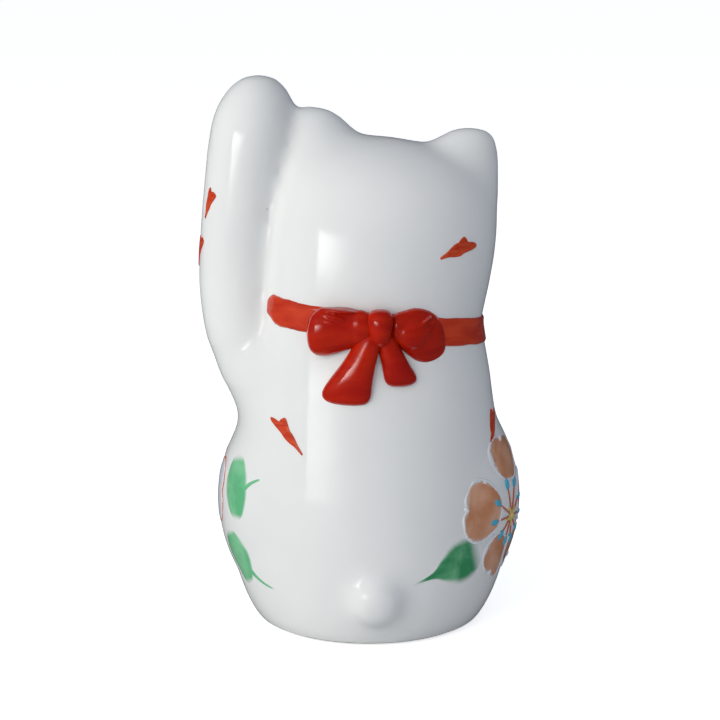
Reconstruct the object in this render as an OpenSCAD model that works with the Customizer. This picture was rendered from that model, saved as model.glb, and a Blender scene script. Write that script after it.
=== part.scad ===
// Beckoning cat figurine: hollow porcelain castings luted together, with a moulded bow and bell.
// The cat faces -Y, its raised left foreleg is at +X, and it stands on z = 0.

/* [Body] */
// Height from the table to the tip of the raised paw
height = 180; // [160:5:200]
// Width across the haunches
haunch_w = 101.6; // [100:0.2:103]
// Thickness of the cast porcelain wall
wall = 4; // [3:0.5:5]
// Radius of the flat foot that the cat stands on
foot_r = 34; // [32:0.5:36]
// Radius of the drain hole in the base
drain_r = 5; // [3:0.5:8]

/* [Head] */
// Lean of the head towards the cat's right side
head_tilt = 8; // [6:0.5:10]
// Height of the neck joint on the body's axis
neck_z = 100.6; // [99:0.2:102]
// Height of the ear tips above the neck joint
ear_top = 65.5; // [64:0.5:67]

/* [Forelegs and tail] */
// Radius of the raised paw
paw_r = 13.7; // [13:0.1:15]
// Radius of the round tail
tail_r = 8.8; // [8:0.2:10]

/* [Collar, bow and bell] */
// Width of the collar band
collar_w = 9; // [8:0.5:10]
// Lean of the collar towards the cat's right side
collar_tilt = 6; // [4:0.5:8]
// Rise of the collar towards the nape
collar_pitch = 5; // [3:0.5:7]
// Height of the collar's enamel above the glaze
collar_t = 0.6; // [0.4:0.1:0.8]
// Height of the bow's relief
bow_t = 5; // [4:0.5:6]
// Radius of the bell
bell_r = 7.5; // [6:0.5:8]

/* [Painted enamels] */
// Height of the enamels above the glaze
enamel_t = 0.4; // [0.3:0.1:0.6]
// Length of a blossom's petals
blossom_r = 24; // [20:1:26]
// Length of the leaves
leaf_l = 20; // [17:1:22]
// Length of the drifting petals
petal_l = 8; // [6:0.5:9]
// Width of each eye
eye_w = 12; // [10:0.5:13]

/* [Hidden] */
$fn = 32;
k = height / 180;
seg = 32;
foot_outer_r = 39;
recess_r = 28;
base_h = 4;
axis_shift = [-2.2, 0.9, 0];
porcelain = "whitesmoke";
enamel_red = "firebrick";
gilt = "goldenrod";
enamel_green = "seagreen";
enamel_orange = "sandybrown";

// Stations of a form: [z, centre x, centre y, half width, depth to the back, depth to the front].
core_rows = [[4, 0, 0, 39, 39, 39], [14, -0.2, 0, 44, 42.6, 42], [28, -0.3, 0, 47, 44, 43.6],
             [42, 0, 0, 46, 43.2, 43], [56, 0, 0, 44, 40.6, 40.8], [70, 0, 0, 42.2, 37.4, 38],
             [85, 0, 0, 39.9, 34.2, 34.6], [99, 0, 0, 37, 32, 31.8], [112, 0, 0, 36.6, 31.6, 31]];
// The head's stations start below the neck joint and end at the crown.
head_rows = [[-9, 0, 0, 36.4, 31.4, 31], [0, 0, 0, 36.4, 31.4, 31], [7, 0, 0, 36.9, 31.8, 32.4],
             [15, 0, 0, 37.8, 31.4, 33.8], [25, 0, 0, 38.2, 30, 34], [35, 0, 0, 37.6, 28.2, 32.8],
             [44, 0, 0, 35.4, 25.8, 29.6], [51, 0, 0, 31, 21.8, 24.6], [56, 0, 0, 23.4, 15.6, 17.4],
             [59, 0, 0, 12.4, 8.6, 9.6], [59.7, 0, 0, 1, 1, 1]];
// The raised foreleg runs from inside the shoulder up to the wrist.
raised_rows = [[60, 20, -4, 11, 11, 11], [70, 27.4, -4, 13.6, 13, 13], [80, 31.6, -4, 15, 15, 15],
               [94, 37.4, -4.6, 15.8, 15, 16], [110, 41, -5, 14.8, 14, 15],
               [130, 40.8, -4.6, 14, 13.8, 14.2], [150, 38.8, -5, 13.8, 13.6, 14]];
raised_wrist = [36.4, -6, 180 - paw_r];
// The resting foreleg runs from the shoulder down to the wrist on the belly.
resting_rows = [[50, -18, -39.4, 9, 9, 9.4], [58, -22.4, -36, 9.2, 9, 9.4], [68, -26.6, -31, 10, 9.6, 10],
                [76, -28.4, -26, 10.2, 9.6, 10.2], [83, -28, -20, 8.6, 8.6, 9]];
resting_wrist = [-18, -39.4, 50];
resting_shoulder = [-28, -20, 83];
thigh_c = [16, -3, 39.5];
thigh_lean = 0.4;
thigh_r = [haunch_w / 2 - thigh_c[0], 38, 42.5];
hind_c = [22, -38, 9];
hind_r = [11.5, 14.2, 9];
tail_c = [2, 41.5, 17];
muzzle_c = [0, -31, 15];
muzzle_r = [12, 7, 7];
bell_c = [0, -36.5, 89];
bell_rim = 0.7;
bell_slot = 1.2;

// ---- Curves and lofts ----
function curve(a, b, c, d, t) = 0.5 * (2 * b + (c - a) * t + (2 * a - 5 * b + 4 * c - d) * t * t
    + (3 * b - a - 3 * c + d) * t * t * t);
function at(rows, i) = rows[max(0, min(len(rows) - 1, i))];
// Stations on a smooth curve through the given ones, with `steps` to each gap.
function smoothed(rows, steps) = [for (i = [0:len(rows) - 2], s = [0:steps - 1])
    curve(at(rows, i - 1), rows[i], rows[i + 1], at(rows, i + 2), s / steps), rows[len(rows) - 1]];
// Stations of a limb's rounded end about a centre, upwards (1) or downwards (-1).
function dome(c, r, up) = [for (a = up > 0 ? [15:14:85] : [-85:14:-15]) let (w = r * cos(a))
    [c[2] + r * sin(a), c[0], c[1], w, w, w * 1.05]];
function ring(s, grow) = [for (i = [0:seg - 1]) let (a = i * 360 / seg)
    [s[1] + (s[3] + grow) * cos(a), s[2] + ((sin(a) > 0 ? s[4] : s[5]) + grow) * sin(a), s[0]]];

// A closed form through stations of rising z, grown or shrunk all round.
module loft(rows, grow = 0) {
    last = len(rows) - 1;
    lift = [for (i = [0:last]) i == 0 ? -grow : i == last ? grow : 0];
    points = [for (i = [0:last]) each [for (p = ring(rows[i], grow)) p + [0, 0, lift[i]]]];
    bottom = [for (j = [0:seg - 1]) j];
    top = [for (j = [seg - 1:-1:0]) last * seg + j];
    sides = [for (i = [0:last - 1], j = [0:seg - 1]) let (n = (j + 1) % seg, a = i * seg)
        each [[a + j, a + seg + n, a + n], [a + j, a + seg + j, a + seg + n]]];
    polyhedron(points, concat([bottom], sides, [top]));
}

// One casting: its free-form surfaces are worked out together, at the figurine's size.
module casting(tint) {
    color(tint) resize([0, 0, 0]) scale(k) translate(axis_shift) children();
}

// ---- Outer forms ----
module body_form(grow = 0) {
    intersection() {
        union() {
            loft(smoothed(core_rows, 2), grow);
            for (side = [-1, 1])
                translate([side * thigh_c[0] - thigh_lean, thigh_c[1], thigh_c[2]])
                    scale([thigh_r[0] + grow, thigh_r[1] + grow, thigh_r[2] + grow]) sphere(1, $fn = 36);
        }
        translate([-80, -80, base_h - grow]) cube([160, 160, 200]);
    }
}

module in_head() {
    translate([0, 0, neck_z]) rotate([0, -head_tilt, 0]) children();
}

module ear(side, grow = 0) {
    hull() {
        translate([side * 27.4, -2, ear_top - 6.4]) sphere(6.4 + grow, $fn = 24);
        translate([side * 27.6, -1.5, 42]) sphere(9.6 + grow, $fn = 24);
        translate([side * 10, -1.5, 47]) sphere(10 + grow, $fn = 24);
    }
}

module head_form(grow = 0) {
    in_head() {
        loft(smoothed(head_rows, 2), grow);
        for (side = [-1, 1])
            ear(side, grow);
        translate(muzzle_c) scale([for (r = muzzle_r) r + grow]) sphere(1);
    }
}

module raised_form(grow = 0) {
    loft(concat(smoothed(raised_rows, 2), dome(raised_wrist, paw_r, 1)), grow);
    translate(raised_wrist + [0, -5, -2]) sphere(paw_r - 1.5 + grow);
}

module above_neck(side, shift = 0) {
    translate([0, 0, neck_z]) rotate([collar_pitch, -collar_tilt, 0])
        translate([-80, -80, side > 0 ? shift : shift - 160]) cube(160);
}

module base_form() {
    rotate_extrude($fn = 96)
        polygon(concat([[drain_r, base_h], [drain_r, 0.8], [recess_r - 0.8, 0.8], [recess_r, 0]],
            [for (a = [0:15:90]) [foot_r + (foot_outer_r - foot_r) * sin(a), base_h * (1 - cos(a))]]));
}

// ---- Castings ----
module torso_shell() {
    casting(porcelain) difference() {
        intersection() { body_form(); above_neck(-1); }
        body_form(-wall);
        cylinder(r = 30, h = 16, $fn = 64);
    }
}

module base_disc() {
    color("linen") scale(k) translate(axis_shift) base_form();
}

module head_shell() {
    casting(porcelain) difference() {
        intersection() { head_form(); above_neck(1); }
        in_head() loft(smoothed(head_rows, 2), -wall);
    }
}

module raised_foreleg() {
    casting(porcelain) difference() {
        raised_form();
        raised_form(-wall);
        head_form();
        body_form();
    }
}

module resting_foreleg() {
    casting(porcelain) difference() {
        loft(concat(dome(resting_wrist, 9, -1), smoothed(resting_rows, 2),
            dome(resting_shoulder, 8.6, 1)));
        body_form();
    }
}

module hind_paw(side) {
    casting(porcelain) difference() {
        translate([side * hind_c[0], hind_c[1], hind_c[2]]) scale(hind_r) sphere(1);
        body_form();
        cylinder(r = foot_outer_r + 0.1, h = base_h, $fn = 96);
    }
}

module tail() {
    casting(porcelain) difference() {
        translate(tail_c) sphere(tail_r, $fn = 32);
        body_form();
    }
}

module collar_ring(t) {
    intersection() {
        union() { body_form(t); head_form(t); }
        above_neck(1, -collar_w / 2);
        above_neck(-1, collar_w / 2);
    }
}

module collar_band() {
    casting(enamel_red) difference() {
        collar_ring(collar_t);
        body_form();
        head_form();
        raised_form();
    }
}

// ---- Bow ----
// A rounded lump of the bow at x and z from its knot, following the round of the nape.
module lump(x, z, w, h, t = 1) {
    turn = asin((x - 0.4) / 36);
    translate([0.4 + x, 32 * cos(turn), 104 + z]) rotate([0, 0, -turn])
        scale([w, bow_t * t, h]) sphere(1, $fn = 28);
}

module on_nape(tint) {
    casting(tint) difference() {
        children();
        body_form();
        head_form();
        collar_ring(collar_t);
    }
}

module loop_form(side) {
    hull() {
        lump(side * 13.2, side > 0 ? -1.4 : -3, 8.6, side > 0 ? 8.4 : 9.2);
        lump(side * 4, -0.4, 2.5, 4.6, 0.8);
    }
}

module knot_form() {
    lump(0, 0.2, 4.6, 6.4, 1.25);
}

// A tail of the bow from the knot down to its flared end.
module tail_form(top, ends) {
    hull() {
        lump(top[0], top[1], 2.2, 2.6, 0.7);
        for (e = ends)
            lump(e[0], e[1], 2.6, 2.6, 0.6);
    }
}

module bow_knot() {
    on_nape(enamel_red) knot_form();
}

module bow_loop(side) {
    on_nape(enamel_red) difference() { loop_form(side); knot_form(); }
}

module bow_tail(top, ends) {
    on_nape(enamel_red) difference() {
        tail_form(top, ends);
        knot_form();
        loop_form(1);
        loop_form(-1);
    }
}

// ---- Bell ----
module bell() {
    casting(gilt) difference() {
        translate(bell_c) rotate([-12, 0, 0]) difference() {
            union() {
                sphere(bell_r, $fn = 28);
                for (z = [-0.9, 0.9])
                    translate([0, 0, z]) rotate_extrude($fn = 28)
                        translate([bell_r, 0]) circle(bell_rim, $fn = 10);
                translate([0, 0, bell_r]) rotate([0, 90, 0])
                    rotate_extrude($fn = 20) translate([1.8, 0]) circle(0.8, $fn = 10);
            }
            translate([-bell_r / 2, -2 * bell_r, (-bell_r - bell_slot) / 2])
                cube([bell_r, 2 * bell_r, bell_slot]);
            translate([0, -bell_r, -bell_r / 2]) rotate([-60, 0, 0])
                cylinder(r = 1.5, h = 4, center = true);
        }
        body_form();
        collar_ring(collar_t);
    }
}

// ---- Painted enamels ----
// Fired enamel over the glaze, where the motif's prism leaves the castings.
module enamel(tint) {
    casting(tint) intersection() {
        difference() {
            union() { body_form(enamel_t); head_form(enamel_t); raised_form(enamel_t); }
            body_form();
            head_form();
            raised_form();
            collar_ring(collar_t);
        }
        children();
    }
}

// A flat motif sent outwards from a point, turned about z from the front towards the cat's left.
module facing(from, turn, roll = 0) {
    translate(from) rotate([0, 0, turn]) rotate([90, 0, 0]) linear_extrude(70)
        rotate(roll) children();
}

// Five notched petals about a centre.
module blossom_motif() {
    for (i = [0:4])
        rotate(72 * i) scale(blossom_r / 10) difference() {
            hull() {
                translate([0, 1.6]) circle(0.6, $fn = 12);
                for (x = [-1.7, 1.7])
                    translate([x, 6.6]) circle(2.4, $fn = 20);
            }
            translate([0, 10.3]) circle(1.5, $fn = 16);
        }
    circle(blossom_r / 8, $fn = 20);
}

// A pointed leaf with its stalk at the bottom.
module leaf_motif() {
    scale(leaf_l / 20) {
        intersection_for(x = [-1, 1])
            translate([x * 7, 0]) circle(12.5, $fn = 48);
        translate([-0.5, -15]) square([1, 6]);
    }
}

// One fallen petal: two lobes drawn out to a fine point.
module petal_motif() {
    scale(petal_l / 8) {
        for (x = [-1, 1])
            hull() {
                translate([x * 1.5, 2.2]) circle(1.7, $fn = 16);
                translate([0, -3.2]) circle(0.4, $fn = 8);
            }
        translate([-0.35, -5.4]) square([0.7, 3]);
    }
}

module eye(side) {
    enamel("black") in_head() facing([side * 9, 0, 30], side * 12, side * 8)
        scale([eye_w / 2, eye_w / 2.8]) circle(1, $fn = 32);
}

module nose() {
    enamel(enamel_red) in_head() facing([0, 0, 21.4], 0) hull() {
        for (x = [-1.8, 1.8])
            translate([x, 0.6]) circle(0.9, $fn = 12);
        translate([0, -1.2]) circle(0.7, $fn = 12);
    }
}

module mouth() {
    enamel(enamel_red) in_head() facing([0, 0, 17.4], 0) for (x = [-1, 1])
        translate([x * 3, 0]) difference() {
            circle(3.5, $fn = 28);
            circle(2.5, $fn = 24);
            translate([-5, 0]) square([10, 5]);
        }
}

module inner_ear(side) {
    enamel(enamel_orange) in_head() facing([side * 24.6, 0, 51], side * 4) hull() {
        for (x = [-3.6, 3.6])
            translate([x, -3.4]) circle(1.4, $fn = 12);
        translate([side * 2.2, 6]) circle(1.2, $fn = 12);
    }
}

torso_shell();
base_disc();
head_shell();
raised_foreleg();
resting_foreleg();
hind_paw(1);  // hind_paw_left
hind_paw(-1);  // hind_paw_right
tail();
collar_band();
bow_knot();
bow_loop(1);  // bow_loop_left
bow_loop(-1);  // bow_loop_right
bow_tail([3, -7], [[15, -19.4], [10, -21.6], [5, -20.8]]);  // bow_tail_left
bow_tail([-3.4, -8], [[-3.8, -14.8], [-9.4, -15.2]]);  // bow_tail_right
bell();
eye(1);  // eye_left
eye(-1);  // eye_right
nose();
mouth();
inner_ear(1);  // inner_ear_left
inner_ear(-1);  // inner_ear_right
enamel("white") facing([0, 0, 46], 72, 20) blossom_motif();  // blossom_left
enamel(enamel_orange) facing([0, 0, 37], 254, 12) blossom_motif();  // blossom_right
enamel(enamel_green) facing([0, 0, 48], 113, 8) leaf_motif();  // leaf_left_upper
enamel(enamel_green) facing([0, 0, 25], 111, 42) leaf_motif();  // leaf_left_lower
enamel(enamel_green) facing([0, 0, 27], 214, -58) leaf_motif();  // leaf_right
enamel(enamel_red) facing([0, 0, 127], 226, -62) petal_motif();  // petal_head
enamel(enamel_red) facing([0, 0, 67], 132, 32) petal_motif();  // petal_back
enamel(enamel_red) facing([38, -4, 141], 104, -80) petal_motif();  // petal_arm
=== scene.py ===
"""A seated porcelain beckoning cat, glazed and painted with raised enamels, on a pale studio floor."""
import math

import bmesh
import bpy
from mathutils import Matrix, Vector


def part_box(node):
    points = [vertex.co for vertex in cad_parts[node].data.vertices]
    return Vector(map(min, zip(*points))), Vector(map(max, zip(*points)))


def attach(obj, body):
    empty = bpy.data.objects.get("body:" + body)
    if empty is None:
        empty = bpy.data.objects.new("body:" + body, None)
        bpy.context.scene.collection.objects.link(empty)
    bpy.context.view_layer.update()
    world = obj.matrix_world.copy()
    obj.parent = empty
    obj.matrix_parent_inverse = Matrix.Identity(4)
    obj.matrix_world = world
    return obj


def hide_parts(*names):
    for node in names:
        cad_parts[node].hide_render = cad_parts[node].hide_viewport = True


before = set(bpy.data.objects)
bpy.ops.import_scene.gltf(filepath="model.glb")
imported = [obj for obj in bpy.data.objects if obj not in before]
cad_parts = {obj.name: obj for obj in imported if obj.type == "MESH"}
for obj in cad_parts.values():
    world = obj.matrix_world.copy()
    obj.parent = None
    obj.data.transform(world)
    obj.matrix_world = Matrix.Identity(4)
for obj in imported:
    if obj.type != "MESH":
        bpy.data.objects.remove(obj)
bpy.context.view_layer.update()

# ---- Porcelain castings ----
# The real cat is slip-cast: body, head, raised foreleg and small paws are cast apart, luted together
# with slip and fettled, so that each form flows into the next under one glaze.
MM = 0.001
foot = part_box("base_disc")
AXIS = (foot[0] + foot[1]) / 2 / MM
AXIS.z = 0
NECK_UP = 100.6
NECK = Vector((AXIS.x, AXIS.y, NECK_UP)) * MM
LEAN = math.radians(8)


def start_clean():
    """Leaves edit mode and drops every selection."""
    if bpy.context.mode != "OBJECT":
        bpy.ops.object.mode_set(mode="OBJECT")
    bpy.ops.object.select_all(action="DESELECT")


def active(name):
    """Names the piece just added and returns it."""
    piece = bpy.context.active_object
    piece.name = piece.data.name = name
    return piece


def only(piece):
    start_clean()
    piece.select_set(True)
    bpy.context.view_layer.objects.active = piece


def finish_with(piece, kind, **settings):
    """Adds one modifier to the piece and applies it."""
    only(piece)
    modifier = piece.modifiers.new(kind.lower(), kind)
    for key, value in settings.items():
        setattr(modifier, key, value)
    bpy.ops.object.modifier_apply(modifier=modifier.name)


def pick(piece, test):
    """In edit mode, selects the vertices for which the test holds."""
    mesh = bmesh.from_edit_mesh(piece.data)
    mesh.verts.ensure_lookup_table()
    for vert in mesh.verts:
        vert.select_set(bool(test(vert)))
    mesh.select_flush_mode()
    bmesh.update_edit_mesh(piece.data)


def join(pieces, name):
    start_clean()
    for piece in pieces:
        piece.select_set(True)
    bpy.context.view_layer.objects.active = pieces[0]
    bpy.ops.object.join()
    return active(name)


def skin_over(piece, voxel, passes):
    """Skins touching forms over as one, with a voxel in mm, and softens the joints between them."""
    finish_with(piece, "REMESH", mode="VOXEL", voxel_size=voxel * MM)
    finish_with(piece, "SMOOTH", factor=0.5, iterations=passes)


def raise_form(name, stations, sides=40, axis=AXIS):
    """A closed form drawn up ring by ring and rounded off. Its stations are (z, x, y, half width, half depth)
    in mm from the axis."""
    start_clean()
    bpy.ops.mesh.primitive_circle_add(vertices=sides, radius=1, fill_type="NGON", enter_editmode=True)
    piece = active(name)
    bpy.ops.mesh.select_all(action="SELECT")
    wide, deep = 1, 1
    at = Vector((0, 0, 0))
    for number, (z, x, y, rx, ry) in enumerate(stations):
        there = (axis + Vector((x, y, z))) * MM
        if number:
            bpy.ops.mesh.extrude_region_move(TRANSFORM_OT_translate={"value": there - at})
        else:
            bpy.ops.transform.translate(value=there)
        bpy.ops.transform.resize(value=(rx * MM / wide, ry * MM / deep, 1), center_override=there)
        wide, deep, at = rx * MM, ry * MM, there
    bpy.ops.mesh.select_all(action="SELECT")
    bpy.ops.mesh.normals_make_consistent(inside=False)
    finish_with(piece, "SUBSURF", levels=2, render_levels=2)
    return piece


def ball(name, centre, radii):
    """An egg of clay pressed on, with its centre in mm from the axis and its three radii in mm."""
    start_clean()
    bpy.ops.mesh.primitive_uv_sphere_add(segments=48, ring_count=32, radius=1, enter_editmode=True)
    piece = active(name)
    bpy.ops.mesh.select_all(action="SELECT")
    bpy.ops.transform.resize(value=[r * MM for r in radii], center_override=(0, 0, 0))
    start_clean()
    piece.data.transform(Matrix.Translation((Vector(centre) + AXIS) * MM))
    return piece


body = raise_form("body", [
    (-4, 0, 0, 33, 33.2), (1, 0, 0, 38, 38.2), (5, 0, 0, 40.5, 40.6), (14, -0.2, 0.3, 44.4, 42.8),
    (28, -0.3, 0.2, 47.2, 44), (42, 0, 0.1, 46.4, 43.4), (56, 0, -0.1, 44.2, 40.8),
    (70, 0, -0.3, 42.4, 37.8), (85, 0, -0.2, 40.2, 34.5), (99, 0, 0.1, 37.2, 32),
    (108, 0, 0.2, 36.8, 31.4)], sides=64)
haunches = [ball("haunch", (side * 16 - 0.4, -3, 39.5), (34.8, 38, 42.5)) for side in (-1, 1)]
shoulder = ball("shoulder", (25, -3, 84), (24, 23, 20))
head = raise_form("head", [(z + NECK_UP, 0, y, rx, ry) for z, y, rx, ry in (
    (-10, 0.2, 36.4, 31.2), (-2, 0.2, 36.6, 31.4), (7, -0.2, 37.1, 32.2), (15, -1, 38, 33),
    (25, -1.9, 38.6, 32.5), (35, -2.2, 38.4, 31), (43, -1.9, 37, 28.5), (49, -1.5, 34.4, 24.8),
    (53.6, -1.5, 30, 20.1), (57, -1.3, 23, 14.7), (59.2, -1, 14, 9), (60.2, -1, 5, 3.4))], sides=64)
ears = [raise_form("ear", [(z + NECK_UP, side * x, y, rx, ry) for z, x, y, rx, ry in (
    (20, 20, 0, 16, 24), (32, 19.4, -0.6, 18, 22), (42, 19, -1.2, 18.2, 18), (50, 19.8, -1.8, 17, 13.6),
    (56, 21.6, -2.3, 14.2, 10.4), (61, 24, -2.6, 11.2, 8.2), (65, 26, -3, 8.2, 6),
    (67.2, 26.8, -3, 4.4, 3.2))]) for side in (-1, 1)]
muzzle = ball("muzzle", (0, -30.4, 115.4), (12.4, 7.4, 7))
jowls = [ball("jowl", (side * 5, -34, 115), (6, 4.6, 5.2)) for side in (-1, 1)]
head = join([head, muzzle, *ears, *jowls], "head")
skin_over(head, 1.5, 24)
# The whole head tips about the neck joint, towards the cat's right.
tipped = Matrix.Rotation(-LEAN, 4, "Y")
head.data.transform(Matrix.Translation(NECK) @ tipped @ Matrix.Translation(-NECK))
foreleg = raise_form("foreleg", [
    (58, 21, -4, 12, 12), (66, 26, -4, 15, 15), (76, 31, -4, 16.4, 15.6), (86, 34.8, -4.2, 16.6, 15.6),
    (97, 38.2, -4.6, 16, 15.4), (110, 41, -5, 15, 14.8), (128, 41, -4.8, 14.3, 14.2),
    (146, 39.4, -5, 14.1, 14), (160, 37.6, -5.6, 14.3, 14.2), (169, 36.4, -6, 13.6, 13.4),
    (176.4, 35.6, -6, 9.6, 9.4), (180.6, 35.4, -6, 4, 4)])
paw = ball("paw", (36, -12, 163.6), (13, 12, 12.4))
resting_leg = raise_form("resting_leg", [
    (42, -15.6, -40.6, 5.4, 5.4), (46, -17, -40.2, 8.6, 8.4), (53, -19.4, -38.6, 9.6, 9.4),
    (62, -24, -35, 9.8, 9.6), (72, -28, -29, 10.6, 10.2), (80, -29, -23, 10, 9.6),
    (90, -27.6, -17, 6, 6)], sides=32)
hind_paws = [ball("hind_paw", (side * 22, -38, 9.4), (11.6, 14.2, 9.2)) for side in (-1, 1)]
tail = ball("tail", (2, 40, 17), (9.6, 9, 9.4))

skin = join([body, shoulder, head, foreleg, paw, resting_leg, tail, *haunches, *hind_paws], "porcelain")
skin_over(skin, 1.72, 5)
# The slip in the joints is fettled down: round the tail, under the raised arm and over the waist.
TAIL_AT = (AXIS + Vector((2, 42, 17))) * MM
TAIL_REACH = 17 * MM
ARM_LOW, ARM_HIGH, ARM_INSIDE = 58 * MM, 93 * MM, 12 * MM
WAIST_LOW, WAIST_HIGH, WAIST_FRONT = 50 * MM, 80 * MM, -20 * MM
only(skin)
bpy.ops.object.mode_set(mode="EDIT")
for joint, passes in (
        (lambda vert: (vert.co - TAIL_AT).length < TAIL_REACH, 10),
        (lambda vert: ARM_LOW < vert.co.z < ARM_HIGH and vert.co.x > ARM_INSIDE, 31),
        (lambda vert: WAIST_LOW < vert.co.z < WAIST_HIGH and vert.co.y > WAIST_FRONT, 19)):
    pick(skin, joint)
    bpy.ops.mesh.vertices_smooth(factor=0.5, repeat=passes)
finish_with(skin, "SUBSURF", levels=1, render_levels=1)
# The skin ends just above the table, where it covers the edge of the bare foot.
FOOT_CUT = 1.2 * MM
only(skin)
bpy.ops.object.mode_set(mode="EDIT")
bpy.ops.mesh.select_all(action="SELECT")
bpy.ops.mesh.bisect(plane_co=(0, 0, FOOT_CUT), plane_no=(0, 0, 1), use_fill=True, clear_inner=True)
only(skin)
bpy.ops.object.shade_smooth_by_angle(angle=math.radians(50))

# ---- Clear glaze, and the bare foot ----
# Fired glaze is very smooth but never quite even: it rolls slightly, is cooler where it lies thick, and
# holds a few pinholes. The foot is wiped clean before firing, so it stays matt and faintly warm.


def new_group(name, inputs, outputs):
    """A shader node group with named sockets. Inputs are (name, value) and outputs are (name, kind)."""
    group = bpy.data.node_groups.new(name, "ShaderNodeTree")
    for label, value in inputs:
        socket = group.interface.new_socket(name=label, in_out="INPUT", socket_type="NodeSocketFloat")
        socket.default_value = value
    for label, kind in outputs:
        group.interface.new_socket(name=label, in_out="OUTPUT", socket_type="NodeSocket" + kind)
    return group, group.nodes.new("NodeGroupInput"), group.nodes.new("NodeGroupOutput")


def add(tree, kind, **values):
    """Adds a node. Each value is a setting of the node, or a socket named with _ for each space."""
    node = tree.nodes.new(kind)
    for key, value in values.items():
        if hasattr(node, key):
            setattr(node, key, value)
        else:
            node.inputs[key.replace("_", " ")].default_value = value
    return node


def wire(tree, *pairs):
    for out, into in pairs:
        tree.links.new(out, into)


def two_tone(tree, low, high, mask):
    """A mix of two colours over a mask. Each colour is plain or comes from another node."""
    mix = tree.nodes.new("ShaderNodeMix")
    mix.data_type = "RGBA"
    for socket, colour in ((mix.inputs[6], low), (mix.inputs[7], high)):
        if isinstance(colour, tuple):
            socket.default_value = (*colour, 1)
        else:
            tree.links.new(colour, socket)
    tree.links.new(mask, mix.inputs[0])
    return mix.outputs[2]


def new_material(name, **sockets):
    """A material whose even values are set on the shader's own sockets."""
    material = bpy.data.materials.new(name)
    material.use_nodes = True
    tree = material.node_tree
    shader = tree.nodes["Principled BSDF"]
    for key, value in sockets.items():
        shader.inputs[key.replace("_", " ")].default_value = value
    return material, tree, shader


def group_in(tree, group, **values):
    node = tree.nodes.new("ShaderNodeGroup")
    node.node_tree = group
    for key, value in values.items():
        node.inputs[key.replace("_", " ")].default_value = value
    return node


# Slow roll of the surface, fine orange peel and pinholes, as one normal with the masks behind it.
fired_glaze, into, out = new_group("fired_glaze", [("Roll", 0.3), ("Peel", 0.05), ("Pinholes", 0.4)],
                                   [("Normal", "Vector"), ("Pits", "Float"), ("Patches", "Float")])
where = add(fired_glaze, "ShaderNodeTexCoord")
roll = add(fired_glaze, "ShaderNodeTexNoise", Scale=60.0, Detail=1.0)
peel = add(fired_glaze, "ShaderNodeTexNoise", Scale=900.0, Detail=2.0)
pits = add(fired_glaze, "ShaderNodeTexVoronoi", Scale=95.0)
patch = add(fired_glaze, "ShaderNodeTexNoise", Scale=24.0, Detail=3.0)
round_pit = add(fired_glaze, "ShaderNodeMapRange", From_Min=0.015, From_Max=0.04, To_Min=1.0, To_Max=0.0)
draw = add(fired_glaze, "ShaderNodeSeparateColor")
rare = add(fired_glaze, "ShaderNodeMath", operation="GREATER_THAN")
rare.inputs[1].default_value = 0.9
few = add(fired_glaze, "ShaderNodeMath", operation="MULTIPLY")
held = add(fired_glaze, "ShaderNodeMath", operation="MULTIPLY")
roll_bump = add(fired_glaze, "ShaderNodeBump", Distance=0.0006)
peel_bump = add(fired_glaze, "ShaderNodeBump", Distance=0.00004)
pit_bump = add(fired_glaze, "ShaderNodeBump", Distance=0.00015, invert=True)
for texture in (roll, peel, pits, patch):
    wire(fired_glaze, (where.outputs["Object"], texture.inputs["Vector"]))
wire(fired_glaze,
     (pits.outputs["Distance"], round_pit.inputs["Value"]), (pits.outputs["Color"], draw.inputs["Color"]),
     (draw.outputs["Red"], rare.inputs[0]), (round_pit.outputs["Result"], few.inputs[0]),
     (rare.outputs[0], few.inputs[1]), (few.outputs[0], held.inputs[0]),
     (into.outputs["Pinholes"], held.inputs[1]), (roll.outputs["Fac"], roll_bump.inputs["Height"]),
     (into.outputs["Roll"], roll_bump.inputs["Strength"]), (peel.outputs["Fac"], peel_bump.inputs["Height"]),
     (into.outputs["Peel"], peel_bump.inputs["Strength"]),
     (roll_bump.outputs["Normal"], peel_bump.inputs["Normal"]),
     (held.outputs[0], pit_bump.inputs["Height"]), (peel_bump.outputs["Normal"], pit_bump.inputs["Normal"]),
     (pit_bump.outputs["Normal"], out.inputs["Normal"]),
     (held.outputs[0], out.inputs["Pits"]), (patch.outputs["Fac"], out.inputs["Patches"]))

white_glaze, tree, shader = new_material("white_glaze", IOR=1.45, Specular_IOR_Level=0.42)
fired = group_in(tree, fired_glaze, Roll=0.3, Peel=0.03, Pinholes=0.7)
spread = add(tree, "ShaderNodeMapRange", From_Min=0.35, From_Max=0.65)
tone = two_tone(tree, (0.8, 0.81, 0.785), (0.84, 0.842, 0.82), spread.outputs["Result"])
tone = two_tone(tree, tone, (0.4, 0.34, 0.28), fired.outputs["Pits"])
shine = add(tree, "ShaderNodeMapRange", To_Min=0.07, To_Max=0.13)
wire(tree, (fired.outputs["Patches"], spread.inputs["Value"]), (tone, shader.inputs["Base Color"]),
     (fired.outputs["Normal"], shader.inputs["Normal"]), (fired.outputs["Patches"], shine.inputs["Value"]),
     (shine.outputs["Result"], shader.inputs["Roughness"]))
skin.data.materials.append(white_glaze)
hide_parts("torso_shell", "head_shell", "raised_foreleg", "resting_foreleg", "hind_paw_left",
            "hind_paw_right", "tail")
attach(skin, "root")

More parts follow.
